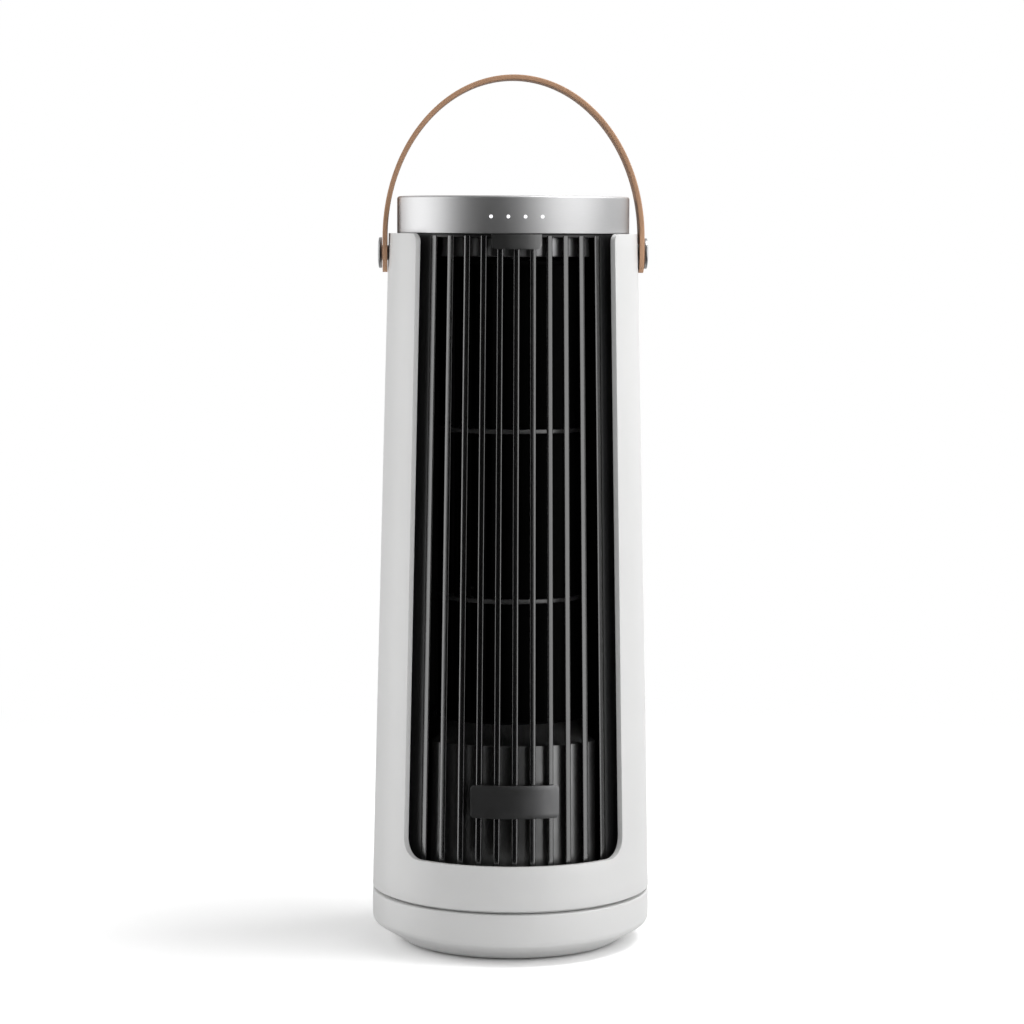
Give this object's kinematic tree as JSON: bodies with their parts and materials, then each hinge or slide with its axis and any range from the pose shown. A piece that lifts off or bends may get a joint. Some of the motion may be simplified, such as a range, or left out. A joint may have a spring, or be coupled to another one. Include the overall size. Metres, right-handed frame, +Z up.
{
  "type": "portable tower fan",
  "caption": "Short tapered tower fan on a round base: cross-flow wheel behind upright fins, swinging head, metal cap with lights and keys, and a leather carrying strap.",
  "frame": {"origin": "on the floor under the centre of the round base, on the axis that the head swings about", "axes": "+Z up along the swing axis, -Y towards the front fins, +X to the viewer's right from the front"},
  "size_m": [0.13, 0.13, 0.4038],
  "materials": {
    "white_plastic": "satin",
    "black_plastic": "satin",
    "dark_window": "gloss",
    "dark_satin_plate": "satin",
    "natural_acetal": "satin",
    "brushed_aluminium": "brushed",
    "steel": "brushed",
    "rubber": "matte",
    "tan_leather": "smooth grain",
    "board_green": "satin",
    "light_guide": "frosted"
  },
  "bodies": {
    "base": {"base_housing": "white_plastic", "base_plate": "black_plastic", "rubber_foot_1": "rubber", "rubber_foot_2": "rubber", "rubber_foot_3": "rubber", "rubber_foot_4": "rubber", "base_screw_1": "steel", "base_screw_2": "steel", "base_screw_3": "steel", "base_screw_4": "steel", "ballast_weight": "steel", "power_inlet": "black_plastic", "swivel_post": "black_plastic", "fixed_gear": "natural_acetal", "thrust_ring": "natural_acetal", "retaining_washer": "steel", "circlip": "steel"},
    "head": {"head_floor": "white_plastic", "swivel_bush": "natural_acetal", "head_shell": "white_plastic", "rear_grille": "black_plastic", "front_grille": "black_plastic", "badge_plate": "dark_satin_plate", "sensor_window": "dark_window", "scroll_wall": "black_plastic", "stabiliser": "black_plastic", "motor_housing": "black_plastic", "drive_motor": "steel", "oscillation_motor": "black_plastic", "upper_bearing_cup": "black_plastic", "upper_bush": "rubber", "top_frame": "black_plastic", "cap_ring": "brushed_aluminium", "led_light_guide": "light_guide", "control_board": "board_green", "top_panel": "black_plastic", "strap_rivet_left": "brushed_aluminium", "strap_rivet_right": "brushed_aluminium"},
    "handle": {"handle_strap": "tan_leather", "strap_eyelet_left": "brushed_aluminium", "strap_eyelet_right": "brushed_aluminium"},
    "impeller": {"impeller_wheel": "black_plastic", "motor_shaft": "steel", "stub_shaft": "steel"},
    "pinion": {"oscillation_pinion": "natural_acetal"},
    "power_button_body": {"power_button": "black_plastic"},
    "speed_button_body": {"speed_button": "black_plastic"},
    "oscillation_button_body": {"oscillation_button": "black_plastic"}
  },
  "joints": [
    {"name": "head_oscillation", "type": "hinge", "parent": "base", "child": "head", "pos_m": [0, 0, 0], "axis": [0, 0, 1], "range_deg": [-45, 45]},
    {"name": "pinion_spin", "type": "hinge", "parent": "head", "child": "pinion", "pos_m": [0, 0.024, 0.0176], "axis": [0, 0, 1], "range_deg": [-135, 135]},
    {"name": "impeller_spin", "type": "hinge", "parent": "head", "child": "impeller", "pos_m": [0, 0, 0.105], "axis": [0, 0, 1], "continuous": true},
    {"name": "handle_swing", "type": "hinge", "parent": "head", "child": "handle", "pos_m": [0, 0, 0.322], "axis": [1, 0, 0], "range_deg": [-115, 115]},
    {"name": "power_button_press", "type": "slide", "parent": "head", "child": "power_button_body", "axis": [0, 0, -1], "range_m": [0, 0.0008], "stiffness_N_per_m": 1500, "springref_m": -0.0003},
    {"name": "speed_button_press", "type": "slide", "parent": "head", "child": "speed_button_body", "axis": [0, 0, -1], "range_m": [0, 0.0008], "stiffness_N_per_m": 1500, "springref_m": -0.0003},
    {"name": "oscillation_button_press", "type": "slide", "parent": "head", "child": "oscillation_button_body", "axis": [0, 0, -1], "range_m": [0, 0.0008], "stiffness_N_per_m": 1500, "springref_m": -0.0003}
  ],
  "couplings": [
    {"joint": "pinion_spin", "follows": "head_oscillation", "ratio": 3}
  ]
}
